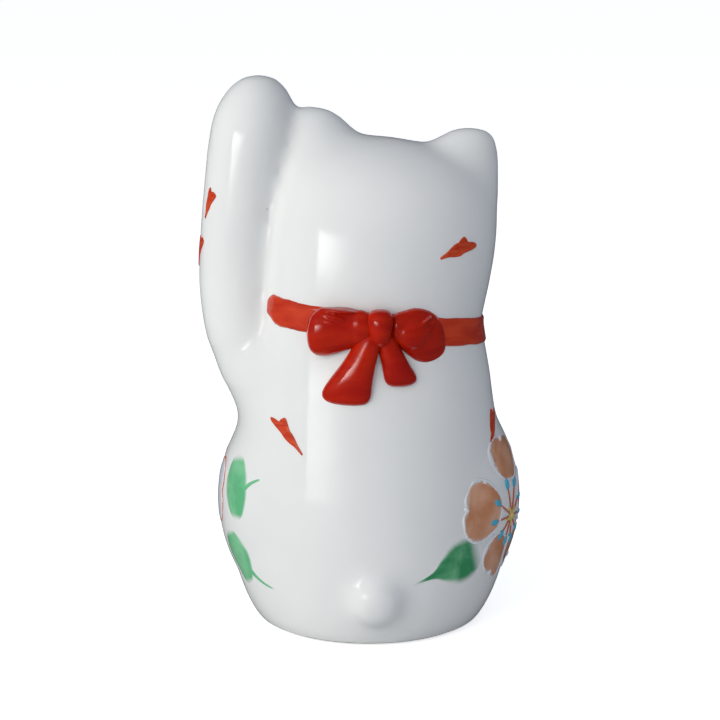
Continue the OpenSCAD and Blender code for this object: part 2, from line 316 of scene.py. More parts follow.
wiped_foot, tree, shader = new_material("wiped_foot", IOR=1.5)
fired = group_in(tree, fired_glaze, Roll=0.1, Peel=0.6, Pinholes=1.0)
where = add(tree, "ShaderNodeTexCoord")
height = add(tree, "ShaderNodeSeparateXYZ")
glazed = add(tree, "ShaderNodeMapRange", From_Min=0.0003, From_Max=0.0006)
grit = add(tree, "ShaderNodeTexNoise", Scale=700.0, Detail=4.0)
bare = two_tone(tree, (0.66, 0.6, 0.5), (0.8, 0.76, 0.68), grit.outputs["Fac"])
tone = two_tone(tree, bare, (0.82, 0.825, 0.8), glazed.outputs["Result"])
matt = add(tree, "ShaderNodeMapRange", To_Min=0.7, To_Max=0.09)
wire(tree, (where.outputs["Object"], height.inputs["Vector"]), (height.outputs["Z"], glazed.inputs["Value"]),
     (where.outputs["Object"], grit.inputs["Vector"]), (tone, shader.inputs["Base Color"]),
     (glazed.outputs["Result"], matt.inputs["Value"]), (matt.outputs["Result"], shader.inputs["Roughness"]),
     (fired.outputs["Normal"], shader.inputs["Normal"]))
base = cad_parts["base_disc"]
base.data.materials.clear()
base.data.materials.append(wiped_foot)

# ---- Collar ----
# A low band raised on the casting round the neck and brushed with red enamel. It runs from the groove
# behind the raised foreleg, where it turns up and stops, round the nape and throat to the groove in front.
COLLAR_RISE = Vector((0.105, 0.088))
COLLAR_WIDE = 9.2
COLLAR_UP = 101
COLLAR_FIRST, COLLAR_LAST, COLLAR_STEP = 18, 332, 2
NECK_WIDE, NECK_DEEP = 36, 32


def red_enamel(name, thin, thick, scale):
    """Brushed red: thin and orange where it is drawn out, deep where it lies thick."""
    material, tree, shader = new_material(name, IOR=1.5, Coat_Weight=0.35, Coat_Roughness=0.03)
    fired = group_in(tree, fired_glaze, Roll=0.3, Peel=0.3, Pinholes=0.15)
    where = add(tree, "ShaderNodeTexCoord")
    drawn = add(tree, "ShaderNodeMapping", Scale=(0.5, 0.5, 1.7))
    strokes = add(tree, "ShaderNodeTexNoise", Scale=scale, Detail=3.0, Distortion=0.7)
    spread = add(tree, "ShaderNodeMapRange", From_Min=0.34, From_Max=0.66)
    tone = two_tone(tree, thin, thick, spread.outputs["Result"])
    shine = add(tree, "ShaderNodeMapRange", To_Min=0.1, To_Max=0.2)
    wire(tree, (where.outputs["Object"], drawn.inputs["Vector"]),
         (drawn.outputs["Vector"], strokes.inputs["Vector"]),
         (strokes.outputs["Fac"], spread.inputs["Value"]), (tone, shader.inputs["Base Color"]),
         (strokes.outputs["Fac"], shine.inputs["Value"]),
         (shine.outputs["Result"], shader.inputs["Roughness"]),
         (fired.outputs["Normal"], shader.inputs["Normal"]))
    return material


def onto_skin(piece, **along):
    """Presses a thin piece inwards until it lies on the glaze, by its normals or by the axis named."""
    finish_with(piece, "SHRINKWRAP", target=skin, wrap_method="PROJECT", use_negative_direction=True,
                use_positive_direction=False, **along)


def build_up(piece, height, rim):
    """Gives a thin piece its height of enamel in mm, and that share of it along its edges."""
    only(piece)
    bpy.ops.object.mode_set(mode="EDIT")
    bpy.ops.mesh.select_all(action="SELECT")
    bpy.ops.mesh.region_to_loop()
    edge = {vert.index for vert in bmesh.from_edit_mesh(piece.data).verts if vert.select}
    bpy.ops.object.mode_set(mode="OBJECT")
    field = piece.vertex_groups.new(name="field")
    field.add([vert.index for vert in piece.data.vertices if vert.index not in edge], 1, "REPLACE")
    finish_with(piece, "SOLIDIFY", thickness=height * MM, offset=0.7, vertex_group="field",
                thickness_vertex_group=rim, use_even_offset=False)
    piece.vertex_groups.clear()
    bpy.ops.object.shade_smooth_by_angle(angle=math.radians(60))


start_clean()
bpy.ops.mesh.primitive_circle_add(vertices=180, radius=44 * MM, location=AXIS * MM, enter_editmode=True)
collar = active("collar")
bpy.ops.mesh.select_all(action="SELECT")
bpy.ops.transform.translate(value=(0, 0, (COLLAR_UP - COLLAR_WIDE / 2) * MM))
for step in range(10):
    bpy.ops.mesh.extrude_region_move(TRANSFORM_OT_translate={"value": (0, 0, COLLAR_WIDE / 10 * MM)})
only(collar)
bpy.ops.object.transform_apply()
bpy.ops.object.mode_set(mode="EDIT")


def bearing(vert):
    """Where a vertex stands round the axis, in degrees from +X towards the nape."""
    return math.degrees(math.atan2(vert.co.y - AXIS.y * MM, vert.co.x - AXIS.x * MM)) % 360


def pick_column(degrees):
    """Selects the column of vertices at one bearing."""
    pick(collar, lambda vert: abs(bearing(vert) - degrees) < 0.5)


pick(collar, lambda vert: not COLLAR_FIRST - 1 < bearing(vert) < COLLAR_LAST + 1)
bpy.ops.mesh.delete(type="VERT")
# The band narrows at both ends, is turned up at the first, and rises towards the raised foreleg and nape.
middle = (AXIS.x * MM, AXIS.y * MM, COLLAR_UP * MM)
for column, share in enumerate((0.42, 0.74, 0.9, 0.97)):
    for start in (COLLAR_FIRST + COLLAR_STEP * column, COLLAR_LAST - COLLAR_STEP * column):
        pick_column(start)
        bpy.ops.transform.resize(value=(1, 1, share), center_override=middle)
for bound, lift in ((42, 0.25), (36, 0.4), (30, 0.5), (26, 0.5), (22, 0.5)):
    pick(collar, lambda vert: bearing(vert) < bound)
    bpy.ops.transform.translate(value=(0, 0, lift * MM))
for degrees in range(COLLAR_FIRST, COLLAR_LAST + 1, COLLAR_STEP):
    across = COLLAR_RISE.x * NECK_WIDE * math.cos(math.radians(degrees))
    along = COLLAR_RISE.y * NECK_DEEP * math.sin(math.radians(degrees))
    pick_column(degrees)
    bpy.ops.transform.translate(value=(0, 0, (across + along) * MM))
bpy.ops.mesh.select_all(action="SELECT")
bpy.ops.mesh.normals_make_consistent(inside=False)
waver = bpy.data.textures.new("brush_waver", "CLOUDS")
waver.noise_scale = 9 * MM
finish_with(collar, "DISPLACE", texture=waver, direction="Z", strength=0.9 * MM, texture_coords="LOCAL")
onto_skin(collar)
finish_with(collar, "SMOOTH", factor=0.4, iterations=3)
build_up(collar, 0.8, 0.3)
collar.data.materials.append(red_enamel("collar_red", (0.64, 0.055, 0.018), (0.5, 0.026, 0.008), 150.0))
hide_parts("collar_band")
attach(collar, "root")

# ---- Bow ----
# Pressed in its own mould and luted to the nape over the collar: a knot, two puffed loops and two tails,
# each a fat cushion with creases between, all flooded with thick red enamel.
NAPE = 32.8
KNOT = Vector((0.2, -0.6, 103.4))
BOW_VOXEL = 0.4


def on_nape(piece, across, up, out, roll):
    """Stands a piece on the nape, facing away from it: to the right as seen from behind, up and out in mm,
    and rolled in degrees."""
    reach = NAPE + out
    rolled = Matrix.Rotation(math.radians(roll), 4, "Y")
    stood = Matrix.Translation((0, reach * MM, 0))
    turned = Matrix.Rotation(math.asin(across / reach), 4, "Z")
    placed = Matrix.Translation((AXIS + KNOT + Vector((0, 0, up))) * MM)
    piece.data.transform(placed @ turned @ stood @ rolled)
    return piece


def lump(across, up, out, wide, high, thick, roll=0):
    """An egg of clay on the nape, with its place, its three radii in mm and its roll in degrees."""
    start_clean()
    bpy.ops.mesh.primitive_uv_sphere_add(segments=32, ring_count=20, radius=1, enter_editmode=True)
    piece = active("lump")
    bpy.ops.mesh.select_all(action="SELECT")
    bpy.ops.transform.resize(value=(wide * MM, thick * MM, high * MM), center_override=(0, 0, 0))
    start_clean()
    return on_nape(piece, across, up, out, roll)


def cushion(stations, across, out=0, roll=0, centre=0):
    """A puffed strip of clay on the nape, drawn out along its length through (place, shift, lean off the
    nape, half width, half thickness) in mm. A roll of 90 degrees lays it across. Its centre is the place
    that meets the nape."""
    turned = [(place - centre, -shift, lean, wide, thick) for place, shift, lean, wide, thick in stations]
    return on_nape(raise_form("cushion", turned, 24, Vector((0, 0, 0))), across, 0, out, roll)


def shade_round(piece):
    only(piece)
    bpy.ops.object.shade_smooth()


def pressed(name, parts, passes):
    """Presses cushions and lumps into one part of the bow, skins it over and floods it with enamel."""
    piece = join(parts, name)
    skin_over(piece, BOW_VOXEL, passes)
    shade_round(piece)
    piece.data.materials.append(bow_red)
    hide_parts(name)
    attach(piece, "root")


bow_red = red_enamel("bow_red", (0.5, 0.016, 0.002), (0.39, 0.006, 0.001), 120.0)
# A loop lies across, so its places run outwards from the knot. Its shifts run up on the left and down on
# the right.
pressed("bow_loop_left", [
    cushion([(2.5, 0.6, 0, 3, 2.4), (5, 0.5, 0.2, 5.2, 3.2), (8, 0.2, 0.3, 6.5, 3.6),
             (12, -0.4, 0.8, 7.5, 4.3), (16, -1.1, 1.7, 8, 4.8), (19.2, -1.4, 2.1, 7.6, 4.6),
             (21.4, -1.8, 1.7, 6, 3.6), (22.6, -2, 0.8, 3, 2)], -12, roll=90, centre=12),
    lump(-6.2, 0.4, 1, 5, 5.8, 3.2), lump(-13, 6, 2.1, 6, 0.8, 2.8, -4),
    lump(-14.6, 4.5, 2.6, 5.2, 0.7, 2.9, -12), lump(-15.6, 3, 3, 4.2, 0.6, 2.8, -20)], 3)
pressed("bow_loop_right", [
    cushion([(2.5, -0.3, 0, 3.2, 2.4), (5, 0, 0.2, 5.2, 3.2), (8, 1.4, 0.4, 7, 3.8), (11, 2.4, 0.4, 8.8, 4),
             (14.4, 3.4, 0.3, 9.2, 3.8), (17.6, 4, 0, 8.6, 3.4), (20.4, 4.9, -0.4, 7.2, 2.6),
             (22.4, 6.4, -0.8, 4.6, 1.8), (23.2, 6.8, -1.2, 2.2, 0.8)], 12, roll=-90, centre=12),
    lump(10.6, -1.8, 1.6, 6, 5.4, 4), lump(12, 1.2, 2, 5.6, 0.7, 3.2, 24),
    lump(12.6, -2, 2.2, 5.4, 0.7, 3.4, 30)], 4)
pressed("bow_knot", [
    cushion([(-5.4, 0, 0, 1.6, 1.6), (-4.4, 0, 0, 2.8, 3), (-1.6, 0, 0.4, 3.5, 4), (1.6, 0, 0.6, 4.1, 4.3),
             (4.2, 0, 0.3, 4.2, 4), (5.8, 0, 0, 3.4, 3), (6.6, 0, 0, 1.8, 1.4)], 0, out=2)], 4)
# A tail hangs, so its places run up from its flared end and its shifts run to the right as seen from behind.
pressed("bow_tail_left", [
    cushion([(-24.4, 1, 2.4, 4.6, 1.2), (-23.2, 0.5, 2.6, 7.3, 2.2), (-21.2, 0.3, 2.5, 8.3, 2.9),
             (-18.4, 1, 2.3, 7.8, 3.5), (-15.4, 2.2, 1.9, 6.9, 3.9), (-12, 3.8, 1.4, 5.8, 3.9),
             (-8, 5.5, 0.8, 4.9, 3.6), (-4, 7.2, 0.4, 4.2, 3.1), (-1, 8.2, 0.4, 3.4, 2.4)], -10.2)], 3)
pressed("bow_tail_right", [
    cushion([(-18.6, 0, 1.9, 3, 1.2), (-17.6, 0, 2, 5, 2.2), (-15.8, 0, 1.9, 5.7, 3),
             (-12.6, -1.2, 1.5, 4.9, 3.5), (-9, -2.5, 0.9, 4.1, 3.5), (-5, -4, 0.5, 3.6, 3),
             (-1, -5, 0.4, 2.9, 2.4)], 6.4)], 3)

# ---- Bell ----
# A round jingle bell hangs from the collar at the throat: two pressed cups rolled together at a rim, a
# # slot between two round holes below, and a wire loop on top, all in fired gilt rubbed thinner in uneven
# patches.
bell_low, bell_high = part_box("bell")
BELL_R = 7.4
BELL_AT = (bell_low + bell_high) / 2 / MM - AXIS + Vector((0, 0.4, -1.6))
BELL_TIP = math.radians(-12)
WIRE_R = 0.75
HOLES_AT = 4.4
start_clean()
bpy.ops.mesh.primitive_uv_sphere_add(segments=64, ring_count=40, radius=BELL_R * MM)
bell = active("bell_cups")
for level in (-0.9, 0.9):
    bpy.ops.mesh.primitive_torus_add(major_segments=64, minor_segments=12, major_radius=BELL_R * MM,
                                     minor_radius=WIRE_R * MM, location=(0, 0, level * MM))
    bell = join([bell, bpy.context.active_object], "bell_cups")
bpy.ops.mesh.primitive_torus_add(major_segments=32, minor_segments=12, major_radius=2 * MM,
                                 minor_radius=WIRE_R * MM, location=(0, 0, (BELL_R + 0.4) * MM),
                                 rotation=(0, math.pi / 2, 0))
loop = active("bell_loop")
bpy.ops.object.transform_apply()
bell = join([bell, loop], "bell_cups")
skin_over(bell, 0.32, 3)
start_clean()
bpy.ops.mesh.primitive_cube_add(size=1, location=(0, -BELL_R * MM, -HOLES_AT * MM))
cut = active("slot")
bpy.ops.transform.resize(value=(9 * MM, 8 * MM, 1.1 * MM))
bpy.ops.object.transform_apply()
for side in (-1, 1):
    bpy.ops.mesh.primitive_cylinder_add(vertices=24, radius=1.3 * MM, depth=8 * MM,
                                        rotation=(math.pi / 2, 0, 0),
                                        location=(side * HOLES_AT * MM, -BELL_R * MM, -HOLES_AT * MM))
    cut = join([cut, bpy.context.active_object], "slot")
finish_with(bell, "BOOLEAN", operation="DIFFERENCE", object=cut, solver="EXACT", use_self=True)
bpy.data.objects.remove(cut)
only(bell)
bpy.ops.object.shade_smooth_by_angle(angle=math.radians(50))
bell.data.transform(Matrix.Translation((BELL_AT + AXIS) * MM) @ Matrix.Rotation(BELL_TIP, 4, "X"))
gilt, tree, shader = new_material("fired_gilt", Metallic=0.65)
fired = group_in(tree, fired_glaze, Roll=0.4, Peel=1.0, Pinholes=1.0)
where = add(tree, "ShaderNodeTexCoord")
rubbed = add(tree, "ShaderNodeTexNoise", Scale=420.0, Detail=5.0)
tone = two_tone(tree, (0.66, 0.4, 0.1), (0.84, 0.58, 0.2), rubbed.outputs["Fac"])
shine = add(tree, "ShaderNodeMapRange", To_Min=0.18, To_Max=0.38)
wire(tree, (where.outputs["Object"], rubbed.inputs["Vector"]), (tone, shader.inputs["Base Color"]),
     (rubbed.outputs["Fac"], shine.inputs["Value"]), (shine.outputs["Result"], shader.inputs["Roughness"]),
     (fired.outputs["Normal"], shader.inputs["Normal"]))
bell.data.materials.append(gilt)
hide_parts("bell")
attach(bell, "root")

# ---- Painted leaves ----
# Green washes laid with a loaded brush: deep where the colour pools, fading out to the white glaze at
# # the edges, the two on the left each with a thin stalk where the brush was lifted away. The right leaf's
# # green is darker as painted shade.


def through(stations, share):
    """A smooth run through (share, value) stations, which rise from 0 to 1."""
    last = len(stations) - 1
    at = next(k for k in range(last) if share <= stations[k + 1][0] + 1e-6)
    (s0, v0), (s1, v1) = stations[at], stations[at + 1]
    before, after = stations[max(at - 1, 0)], stations[min(at + 2, last)]
    slope0 = (v1 - before[1]) / (s1 - before[0])
    slope1 = (after[1] - v0) / (after[0] - s0)
    t, gap = (share - s0) / (s1 - s0), s1 - s0
    return ((2 * t ** 3 - 3 * t * t + 1) * v0 + (t ** 3 - 2 * t * t + t) * gap * slope0
            + (3 * t * t - 2 * t ** 3) * v1 + (t ** 3 - t * t) * gap * slope1)


def on_skin(point):
    """The nearest place on the glaze to a point in mm from the axis, and the way out of it."""
    place, out = skin.closest_point_on_mesh((Vector(point) + AXIS) * MM)[1:3]
    return place / MM - AXIS, out


def brushed(name, root, tip, widths, columns=10, rows=22, notch=0.0, sway=0.0, height=0.4, rim=0.25,
            lift=12):
    """One patch of colour on the glaze from its root to its tip, with half widths in mm along its length.
    A notch shortens its middle by that share, and a sway bows it to one side by that many mm. It is laid
    down from its lift in mm."""
    root, tip = Vector(root), Vector(tip)
    out = on_skin((root + tip) / 2)[1]
    along = (tip - root) - (tip - root).dot(out) * out
    length = along.length
    along.normalize()
    beside = along.cross(out)
    start_clean()
    bpy.ops.mesh.primitive_grid_add(x_subdivisions=columns, y_subdivisions=rows, size=1, enter_editmode=True)
    piece = active(name)
    across = columns + 1
    for column in range(across):
        aside = abs(2 * column / columns - 1)
        share = 1 - 2 * notch * ((1 - min(aside / 0.5, 1)) ** 1.3 + 2 * max(0, aside - 0.5) ** 1.6)
        pick(piece, lambda vert: vert.index % across == column and vert.index // across > rows / 2)
        bpy.ops.transform.resize(value=(1, share, 1), center_override=(0, 0, 0))
    for row in range(rows + 1):
        share = row / rows
        wide = 2 * through(widths, share) * MM
        pick(piece, lambda vert: vert.index // across == row)
        bpy.ops.transform.resize(value=(wide, length * MM, 1), center_override=(0, 0, 0))
        bpy.ops.transform.translate(value=(sway * math.sin(math.pi * share) * MM, 0, 0))
    start_clean()
    place = Matrix((beside, along, out)).transposed().to_4x4()
    middle = (root + tip) / 2 + AXIS + out * lift
    piece.matrix_world = Matrix.Translation(middle * MM) @ place
    onto_skin(piece, use_project_z=True)
    bpy.ops.object.transform_apply()
    if height:
        build_up(piece, height, rim)
    return piece


def painted(piece, material, node=None):
    """Gives a motif its colour and tells the frame what it is."""
    piece.data.materials.clear()
    piece.data.materials.append(material)
    if node:
        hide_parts(node)
    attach(piece, "root")


def washed(name, pale, deep, white, reach, scale):
    """A wash of colour that pools unevenly and fades out along the edges of each stroke."""
    material, tree, shader = new_material(name, IOR=1.5, Coat_Weight=0.3, Coat_Roughness=0.03, Roughness=0.1)
    fired = group_in(tree, fired_glaze, Roll=0.3, Peel=0.1, Pinholes=0.1)
    where = add(tree, "ShaderNodeTexCoord")
    apart = add(tree, "ShaderNodeSeparateXYZ")
    pool = add(tree, "ShaderNodeTexNoise", Scale=scale, Detail=3.0, Distortion=0.4)
    spread = add(tree, "ShaderNodeMapRange", From_Min=0.36, From_Max=0.64)
    wire(tree, (where.outputs["UV"], apart.inputs["Vector"]),
         (where.outputs["Object"], pool.inputs["Vector"]), (pool.outputs["Fac"], spread.inputs["Value"]))
    from_edge = []
    for socket in ("X", "Y"):
        offset = add(tree, "ShaderNodeMath", operation="SUBTRACT")
        offset.inputs[1].default_value = 0.5
        size = add(tree, "ShaderNodeMath", operation="ABSOLUTE")
        inward = add(tree, "ShaderNodeMath", operation="SUBTRACT")
        inward.inputs[0].default_value = 0.5
        wire(tree, (apart.outputs[socket], offset.inputs[0]), (offset.outputs[0], size.inputs[0]),
             (size.outputs[0], inward.inputs[1]))
        from_edge.append(inward.outputs[0])
    nearest = add(tree, "ShaderNodeMath", operation="MINIMUM")
    ragged = add(tree, "ShaderNodeMath", operation="MULTIPLY_ADD")
    ragged.inputs[1].default_value = 0.12
    fade = add(tree, "ShaderNodeMapRange", interpolation_type="SMOOTHSTEP", From_Min=0.06,
               From_Max=0.06 + reach)
    wire(tree, (from_edge[0], nearest.inputs[0]), (from_edge[1], nearest.inputs[1]),
         (pool.outputs["Fac"], ragged.inputs[0]), (nearest.outputs[0], ragged.inputs[2]),
         (ragged.outputs[0], fade.inputs["Value"]))
    colour = two_tone(tree, pale, deep, spread.outputs["Result"])
    wire(tree, (two_tone(tree, white, colour, fade.outputs["Result"]), shader.inputs["Base Color"]),
         (fired.outputs["Normal"], shader.inputs["Normal"]))
    return material


GLAZE_WHITE = (0.82, 0.826, 0.8)
LEAF = [(0, 1.6), (0.06, 3.4), (0.2, 5.4), (0.5, 6.9), (0.8, 5.8), (0.94, 3.8), (1, 1.8)]
BLUNT_LEAF = [(0, 0.4), (0.18, 0.7), (0.3, 1.7), (0.42, 4.6), (0.6, 7.5), (0.78, 7.8), (0.92, 6), (1, 3)]
STALK = [(0, 1.2), (0.4, 0.7), (1, 0.35)]
THIN = {"height": 0.16, "rim": 0.05}
light_green = washed("leaf_wash_light", (0.25, 0.62, 0.34), (0.13, 0.48, 0.23), GLAZE_WHITE, 0.11, 90.0)
# The right leaf's wash is the left leaves' green darkened as painted shade, for the side of the cat away from
# the lights; only its uneven pooling is the brush's own.
shaded_green = washed("leaf_wash_shaded", (0.17, 0.5, 0.25), (0.04, 0.27, 0.11), GLAZE_WHITE, 0.2, 95.0)
leaf = brushed("leaf_left_upper", (44.9, 17, 37.8), (44, 11, 58), LEAF, **THIN)
stalk = brushed("stalk", (42.6, 18.4, 48), (37.8, 23.6, 53), STALK, 6, 12, sway=-0.5, **THIN)
painted(join([leaf, stalk], "leaf_left_upper"), light_green, "leaf_left_upper")
broad_leaf = [(share, 1.06 * wide) for share, wide in LEAF]
leaf = brushed("leaf_left_lower", (41, 16.8, 16), (47.4, 10.4, 32.6), broad_leaf, **THIN)
stalk = brushed("stalk", (41.8, 19.4, 21), (33.6, 28.2, 17.4), STALK, 6, 12, sway=0.6, **THIN)
painted(join([leaf, stalk], "leaf_left_lower"), light_green, "leaf_left_lower")
leaf = brushed("leaf_right", (-9.4, 42.6, 22), (-33, 31.8, 29), BLUNT_LEAF, 12, 28, sway=-0.6, **THIN)
painted(leaf, shaded_green, "leaf_right")

# ---- Drifting petals ----
# Single fallen petals in orange-red enamel, each made with two strokes that part at the tip and are drawn
# together into a fine tail.
petal_red = red_enamel("petal_red", (0.7, 0.09, 0.03), (0.52, 0.035, 0.01), 380.0)
LONG_LOBE = [(0, 0.25), (0.2, 0.6), (0.36, 1.2), (0.48, 1.4), (0.6, 1.15), (0.75, 1), (0.9, 0.75), (1, 0.25)]
ROUND_LOBE = [(0, 0.4), (0.25, 1.2), (0.5, 1.35), (0.75, 1.5), (0.9, 1.4), (0.97, 1.1), (1, 0.7)]


def fallen(name, root, tip, other, wide, sway):
    """A petal in two strokes: a long one from its tail to the pointed tip and a round one beside it."""
    start = Vector(root).lerp(Vector(tip), 0.3)
    long_lobe = [(share, half * wide) for share, half in LONG_LOBE]
    round_lobe = [(share, half * wide) for share, half in ROUND_LOBE]
    strokes = [brushed(name, root, tip, long_lobe, 10, 24, sway=sway),
               brushed(name, start, other, round_lobe, 10, 20, sway=-sway / 2)]
    piece = join(strokes, name)
    skin_over(piece, 0.13, 6)
    shade_round(piece)
    return piece


for node, root, tip, other, wide, sway in (
        ("petal_head", (-20.9, 29.1, 124.6), (-33.4, 20, 127.6), (-30.2, 22.8, 129.4), 1.6, -0.8),
        ("petal_back", (24.6, 31.8, 62.8), (34.4, 21.4, 73), (31.2, 25.2, 73.4), 1.2, 0.8),
        ("petal_arm", (53.6, 0.6, 134.6), (51.6, 2, 145), (51, 4.4, 143.4), 1, 0.5)):
    painted(fallen(node, root, tip, other, wide, sway), petal_red, node)
for number, (root, tip, other) in enumerate((((-37, 20.6, 60.9), (-40.8, 9, 71.4), (-39.6, 13, 72)),
                                             ((54.4, -6, 118), (54.6, -2.6, 129), (54, 0, 128)))):
    piece = fallen("petal_side_" + str(number), root, tip, other, 0.95, 0.4)
    painted(piece, petal_red)

# ---- Blossoms ----
# Five notched petals in a thick wash inside a piped raised line, orange lined with white on the cat's
# right haunch and white lined with red on the left, with a star, stamens and blue anthers in the middle.
PETAL = [(0, 2.4), (0.08, 5), (0.24, 7.6), (0.48, 9.6), (0.7, 10), (0.86, 9), (0.96, 7.2), (1, 5.6)]
PETAL_REACH = 28


def piped(patch, name, radius, waver):
    """A raised line squeezed out along the edge of a flat patch, with its radius and its waver in mm."""
    only(patch)
    bpy.ops.object.duplicate()
    bpy.ops.object.mode_set(mode="EDIT")
    bpy.ops.mesh.select_all(action="SELECT")
    bpy.ops.mesh.region_to_loop()
    bpy.ops.mesh.select_all(action="INVERT")
    bpy.ops.mesh.delete(type="EDGE")
    bpy.ops.mesh.select_all(action="SELECT")
    bpy.ops.mesh.delete(type="ONLY_FACE")
    bpy.ops.object.mode_set(mode="OBJECT")
    bpy.ops.object.convert(target="CURVE")
    line = bpy.context.active_object
    line.data.bevel_depth = radius * MM
    line.data.bevel_resolution = 3
    bpy.ops.object.convert(target="MESH")
    line = active(name)
    bpy.ops.object.mode_set(mode="EDIT")
    bpy.ops.mesh.select_all(action="SELECT")
    bpy.ops.mesh.remove_doubles(threshold=0.01 * MM)
    bpy.ops.mesh.normals_make_consistent(inside=False)
    bpy.ops.object.mode_set(mode="OBJECT")
    finish_with(line, "DISPLACE", texture=waver_fine, strength=waver * MM, mid_level=0.4)
    skin_over(line, 0.6 * radius, 4)
    shade_round(line)
    return line


waver_fine = bpy.data.textures.new("piping_waver", "CLOUDS")
waver_fine.noise_scale = 2.6 * MM


def blossom(name, centre, turn, tips, wash, line_material, radius, waver):
    """A blossom about its centre. Each tip is (turn in the flower from its right, reach and heel in mm)."""
    centre = on_skin(centre)[0]
    out = Vector((math.sin(math.radians(turn)), -math.cos(math.radians(turn)), 0))
    right = Vector((0, 0, 1)).cross(out)
    up = Vector((0, 0, 1))
    fills, lines = [], []
    for angle, length, heel in tips:
        way = right * math.cos(math.radians(angle)) + up * math.sin(math.radians(angle))
        tip = on_skin(centre + way * length)[0]
        root = on_skin(centre + way * heel)[0]
        wide = [(share, half * length / PETAL_REACH) for share, half in PETAL]
        flat = brushed("petal", root, tip, wide, 14, 24, notch=0.08, height=0)
        lines.append(piped(flat, "line", radius, waver))
        build_up(flat, 0.35, 0.4)
        fills.append(flat)
        if radius > 0.3:
            notch = on_skin(centre + way * length * 0.96)[0]
            lines.append(dab(notch, 0.8, 1.3, 0.8, angle + 60, "curl"))
    painted(join(fills, name + "_petals"), wash, name)
    painted(join(lines, name + "_lines"), line_material)
    return centre, right, up


def solid_enamel(name, colour, other):
    """Opaque enamel with a slight change of tone where it lies thicker."""
    material, tree, shader = new_material(name, IOR=1.5, Coat_Weight=0.3, Coat_Roughness=0.05)
    fired = group_in(tree, fired_glaze, Roll=0.2, Peel=0.5, Pinholes=0.1)
    where = add(tree, "ShaderNodeTexCoord")
    depth = add(tree, "ShaderNodeTexNoise", Scale=600.0, Detail=3.0)
    shine = add(tree, "ShaderNodeMapRange", To_Min=0.16, To_Max=0.26)
    wire(tree, (where.outputs["Object"], depth.inputs["Vector"]),
         (two_tone(tree, colour, other, depth.outputs["Fac"]), shader.inputs["Base Color"]),
         (depth.outputs["Fac"], shine.inputs["Value"]), (shine.outputs["Result"], shader.inputs["Roughness"]),
         (fired.outputs["Normal"], shader.inputs["Normal"]))
    return material


def dab(point, wide, high, thick, turn=0, name="dab"):
    """A domed dab of enamel on the glaze at a point in mm, with its two radii and its height in mm, and
    turned in degrees."""
    place, out = on_skin(point)
    start_clean()
    bpy.ops.mesh.primitive_uv_sphere_add(segments=20, ring_count=12, radius=1, enter_editmode=True)
    piece = active(name)
    bpy.ops.mesh.select_all(action="SELECT")
    bpy.ops.transform.resize(value=(wide * MM, high * MM, thick * MM), center_override=(0, 0, 0))
    start_clean()
    right = Vector((0, 0, 1)).cross(out).normalized()
    stood = Matrix((right, out.cross(right), out)).transposed().to_4x4()
    turned = Matrix.Rotation(math.radians(turn), 4, "Z")
    piece.data.transform(Matrix.Translation((place + AXIS) * MM) @ stood @ turned)
    shade_round(piece)
    return piece


orange_wash = washed("blossom_wash_orange", (0.72, 0.39, 0.25), (0.6, 0.26, 0.13), (0.76, 0.58, 0.48),
                     0.1, 130.0)
white_wash = washed("blossom_wash_white", (0.84, 0.86, 0.9), (0.78, 0.81, 0.88), (0.84, 0.84, 0.84),
                    0.1, 130.0)
white_line = solid_enamel("raised_white", (0.84, 0.85, 0.86), (0.76, 0.78, 0.82))
red_line = solid_enamel("fine_red_line", (0.55, 0.09, 0.04), (0.66, 0.2, 0.12))
anther_blue = solid_enamel("anther_blue", (0.06, 0.38, 0.56), (0.12, 0.5, 0.66))
star_yellow = solid_enamel("star_yellow", (0.78, 0.66, 0.24), (0.7, 0.55, 0.16))
RIGHT_TIPS = [(163, 29, 7.6), (84, 28.4, 12), (10, 25, 8), (300, 22, 7), (236, 22, 7)]
RAY = [(0, 0.9), (0.5, 0.6), (1, 0.2)]
STAMEN = [(0, 0.2), (0.5, 0.26), (1, 0.2)]
LEFT_TIPS = [(8, 30, 8), (80, 18, 6), (152, 20, 6), (224, 21, 6), (296, 20, 6)]
for name, centre, turn, tips, wash, line, fill_slot, line_slot, radius, waver in (
        ("blossom_right", (-45.4, 18, 36.9), 243, RIGHT_TIPS, orange_wash, white_line, "enamel_orange",
         "enamel_white", 0.38, 0.5),
        ("blossom_left", (44.8, -18.6, 41), 68, LEFT_TIPS, white_wash, red_line, "enamel_white",
         "enamel_red", 0.24, 0.1)):
    centre, right, up = blossom(name, centre, turn, tips, wash, line, radius, waver)
    stamens, anthers = [], []
    for angle, length, _ in tips:
        for aside in (-17, 17):
            swing = math.radians(angle + aside)
            way = right * math.cos(swing) + up * math.sin(swing)
            out_to = min(length * 0.4, 30 * radius)
            end = centre + way * (out_to - 1)
            stamens.append(brushed("stamen", on_skin(centre + way * 1.6)[0], on_skin(end)[0], STAMEN, 2, 10,
                                   height=0.5, rim=0.8, lift=3))
            anthers.append(dab(centre + way * out_to, 1.1, 2.1, 0.8, math.degrees(swing) - 90))
    painted(join(stamens, name + "_stamens"), red_line)
    painted(join(anthers, name + "_anthers"), anther_blue)
    rays = []
    for k in range(5):
        swing = math.radians(72 * k + 50)
        point = centre + (right * math.cos(swing) + up * math.sin(swing)) * 3.6
        rays.append(brushed("ray", on_skin(centre)[0], on_skin(point)[0], RAY, 2, 6, height=0.85, rim=0.8,
                            lift=3))
    painted(join([dab(centre, 1.4, 1.4, 1.1), *rays], name + "_star"), star_yellow)

